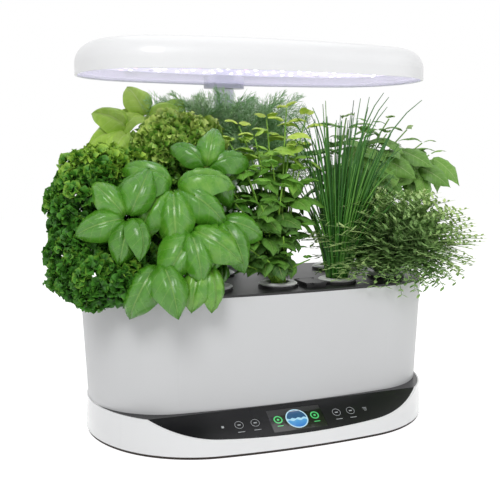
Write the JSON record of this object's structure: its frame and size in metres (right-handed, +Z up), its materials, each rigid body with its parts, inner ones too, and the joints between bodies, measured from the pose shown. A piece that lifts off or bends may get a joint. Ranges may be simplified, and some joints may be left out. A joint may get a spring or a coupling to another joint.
{
  "type": "countertop hydroponic garden",
  "caption": "Oval countertop herb garden: tapered water bowl on a base with a sloping control fascia, grow deck with pods and herbs, and an LED hood on a telescoping arm.",
  "frame": {"origin": "middle of the underside of the foot ring", "axes": "+Z up, +X along the garden to its right seen from the front, -Y towards the front"},
  "size_m": [0.5492, 0.285, 0.443],
  "materials": {
    "foot_rubber": "matte",
    "dark_plastic": "matte",
    "white_gloss": "gloss",
    "black_gloss": "gloss",
    "display_glass": "gloss",
    "display_screen": "gloss",
    "circuit_board": "satin",
    "circuit_board_white": "satin",
    "screw_steel": "brushed",
    "bowl_satin": "satin",
    "deck_black": "satin",
    "ceramic_shaft": "satin",
    "impeller_white": "satin",
    "riser_clear": "satin",
    "float_foam": "matte",
    "arm_aluminium": "satin",
    "bush_acetal": "satin",
    "head_grey": "satin",
    "lens_diffuser": "frosted",
    "spreader_aluminium": "satin",
    "led_white": "gloss",
    "led_red": "gloss",
    "led_blue": "gloss",
    "grow_foam": "matte",
    "collar_white": "satin",
    "basket_white": "satin",
    "parsley_leaf": "matte",
    "basil_leaf": "satin",
    "mint_leaf": "satin",
    "chive_blade": "satin",
    "thyme_leaf": "matte",
    "light_basil_leaf": "satin",
    "light_parsley_leaf": "matte",
    "dill_frond": "matte",
    "thai_basil_leaf": "satin"
  },
  "bodies": {
    "garden": {"foot_ring": "foot_rubber", "base_tray": "dark_plastic", "base_shell": "white_gloss", "control_fascia": "black_gloss", "display_lens": "display_glass", "display_module": "display_screen", "control_board": "circuit_board", "power_inlet": "dark_plastic", "base_screws": "screw_steel", "base_socket": "dark_plastic", "bowl_plug": "dark_plastic", "bowl": "bowl_satin", "grow_deck": "deck_black", "flap_pin": "screw_steel", "pump_body": "dark_plastic", "impeller_shaft": "ceramic_shaft", "pump_cover": "dark_plastic", "pump_filter": "dark_plastic", "riser_tube": "riser_clear", "float_stem": "impeller_white", "arm_post": "arm_aluminium", "post_guide_bush": "bush_acetal", "pod_sponges": "grow_foam", "pod_collars": "collar_white", "pod_basket_1": "basket_white", "pod_basket_2": "basket_white", "pod_basket_3": "basket_white", "pod_basket_4": "basket_white", "pod_basket_5": "basket_white", "pod_basket_6": "basket_white", "pod_basket_7": "basket_white", "pod_basket_8": "basket_white", "pod_basket_9": "basket_white", "parsley_plant": "parsley_leaf", "basil_plant": "basil_leaf", "mint_plant": "mint_leaf", "chives_plant": "chive_blade", "thyme_plant": "thyme_leaf", "rear_basil_plant": "light_basil_leaf", "rear_parsley_plant": "light_parsley_leaf", "dill_plant": "dill_frond", "thai_basil_plant": "thai_basil_leaf"},
    "arm_middle": {"arm_mid": "arm_aluminium", "mid_slide_shoe": "bush_acetal", "mid_guide_bush": "bush_acetal"},
    "lamp": {"arm_top": "arm_aluminium", "top_slide_shoe": "bush_acetal", "arm_head": "head_grey", "hood_shell": "white_gloss", "hood_lens": "lens_diffuser", "led_board": "circuit_board_white", "heat_spreader": "spreader_aluminium", "white_leds": "led_white", "red_leds": "led_red", "blue_leds": "led_blue", "hood_screws": "screw_steel"},
    "flap": {"fill_flap": "deck_black"},
    "float": {"level_float": "float_foam"},
    "pump_rotor": {"impeller": "impeller_white"}
  },
  "joints": [
    {"name": "arm_mid_slide", "type": "slide", "parent": "garden", "child": "arm_middle", "axis": [0, 0, 1], "range_m": [0, 0.19]},
    {"name": "arm_top_slide", "type": "slide", "parent": "arm_middle", "child": "lamp", "axis": [0, 0, 1], "range_m": [0, 0.19]},
    {"name": "fill_flap_hinge", "type": "hinge", "parent": "garden", "child": "flap", "pos_m": [0.039, -0.0536, 0.1738], "axis": [-1, 0, 0], "range_deg": [0, 95]},
    {"name": "level_float_slide", "type": "slide", "parent": "garden", "child": "float", "axis": [0, 0, 1], "range_m": [0, 0.0475]},
    {"name": "impeller_spin", "type": "hinge", "parent": "garden", "child": "pump_rotor", "pos_m": [0, 0.062, 0.06], "axis": [0, 0, 1], "continuous": true}
  ]
}
